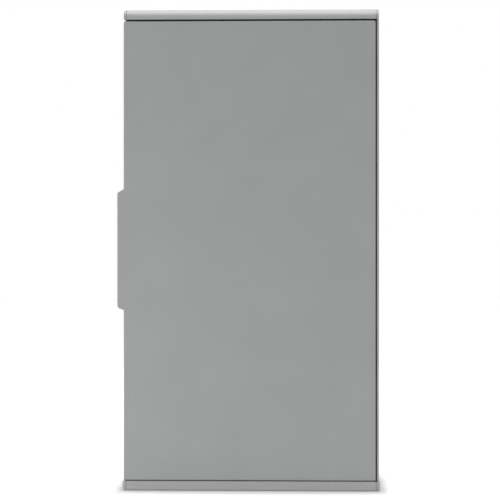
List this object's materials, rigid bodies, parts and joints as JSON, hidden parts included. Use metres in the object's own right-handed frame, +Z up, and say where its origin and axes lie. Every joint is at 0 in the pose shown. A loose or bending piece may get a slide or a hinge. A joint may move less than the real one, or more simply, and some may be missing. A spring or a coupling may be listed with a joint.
{
  "type": "phone charging kiosk",
  "caption": "Tall flat cabinet with one pull-tab door, a cam lock, shelves of USB charging bays and a mains inlet with switch.",
  "frame": {"origin": "centre of the case's flat underside, where it stands", "axes": "+Z up; the door faces -Y and the back panel +Y; +X is the door's hinge side, right of someone who faces the door"},
  "size_m": [0.3159, 0.1524, 0.579],
  "materials": {
    "door_paint": "satin silver-grey powder coat",
    "case_paint": "satin silver-grey powder coat",
    "rail_aluminium": "satin anodised extrusion",
    "end_cap_plastic": "fine-grained grey moulding",
    "zinc_steel": "bright zinc plate",
    "chrome": "polished chrome plate",
    "black_plastic": "black glass-filled nylon",
    "fascia_plastic": "dark grey moulding",
    "rubber": "black rubber",
    "cradle_rubber": "dark grey silicone rubber",
    "nylon": "natural nylon",
    "circuit_board": "green solder mask on glass fibre board",
    "supply_case": "plain perforated sheet",
    "terminal_plastic": "black moulding",
    "cable_sheath": "black soft sheath",
    "switch_red": "glossy red moulding"
  },
  "bodies": {
    "case": {"back_panel": "case_paint", "back_screw_lower_left": "zinc_steel", "back_screw_lower_right": "zinc_steel", "back_screw_upper_left": "zinc_steel", "back_screw_upper_right": "zinc_steel", "base_end_cap_left": "end_cap_plastic", "base_end_cap_right": "end_cap_plastic", "base_rail": "rail_aluminium", "cradle_lower": "cradle_rubber", "cradle_middle": "cradle_rubber", "cradle_upper": "cradle_rubber", "dc_lead_lower": "cable_sheath", "dc_lead_middle": "cable_sheath", "dc_lead_upper": "cable_sheath", "door_seal": "rubber", "fan_frame": "black_plastic", "fan_lead": "cable_sheath", "fascia_lower": "fascia_plastic", "fascia_middle": "fascia_plastic", "fascia_upper": "fascia_plastic", "grommet_lower": "rubber", "grommet_middle": "rubber", "grommet_upper": "rubber", "hinge_pin_lower": "zinc_steel", "hinge_pin_upper": "zinc_steel", "inner_panel": "case_paint", "left_wall": "case_paint", "lock_barrel": "chrome", "lock_nut": "zinc_steel", "magnet_catch_lower": "black_plastic", "magnet_catch_upper": "black_plastic", "mains_inlet": "black_plastic", "mains_lead": "cable_sheath", "power_supply": "supply_case", "right_wall": "case_paint", "shelf_lower": "case_paint", "shelf_middle": "case_paint", "shelf_upper": "case_paint", "supply_terminals": "terminal_plastic", "top_cap": "rail_aluminium", "top_end_cap_left": "end_cap_plastic", "top_end_cap_right": "end_cap_plastic", "usb_board_lower": "circuit_board", "usb_board_middle": "circuit_board", "usb_board_upper": "circuit_board"},
    "door": {"door_skin": "door_paint", "door_tray": "door_paint", "door_stiffener": "door_paint", "catch_plate_lower": "zinc_steel", "catch_plate_upper": "zinc_steel", "lock_strike": "zinc_steel", "hinge_bush_lower": "nylon", "hinge_bush_upper": "nylon"},
    "lock_cylinder": {"lock_plug": "chrome", "lock_cam": "zinc_steel", "cam_screw": "zinc_steel"},
    "fan_rotor": {"fan_rotor": "black_plastic"},
    "fuse_drawer": {"fuse_drawer": "black_plastic"},
    "rocker": {"rocker_switch": "switch_red"}
  },
  "joints": [
    {"name": "door_hinge", "type": "hinge", "parent": "case", "child": "door", "pos_m": [0.12787, -0.0687, 0.2895], "axis": [0, 0, 1], "range_deg": [0, 115]},
    {"name": "lock_turn", "type": "hinge", "parent": "case", "child": "lock_cylinder", "pos_m": [-0.1535, -0.0399, 0.2615], "axis": [-1, 0, 0], "range_deg": [0, 90]},
    {"name": "fan_spin", "type": "hinge", "parent": "case", "child": "fan_rotor", "pos_m": [0.1507, 0.04985, 0.5104], "axis": [1, 0, 0], "continuous": true},
    {"name": "fuse_drawer_slide", "type": "slide", "parent": "case", "child": "fuse_drawer", "axis": [1, 0, 0], "range_m": [0, 0.014]},
    {"name": "rocker_turn", "type": "hinge", "parent": "case", "child": "rocker", "pos_m": [0.151, 0.04985, 0.07175], "axis": [0, 1, 0], "range_deg": [0, 16]}
  ]
}
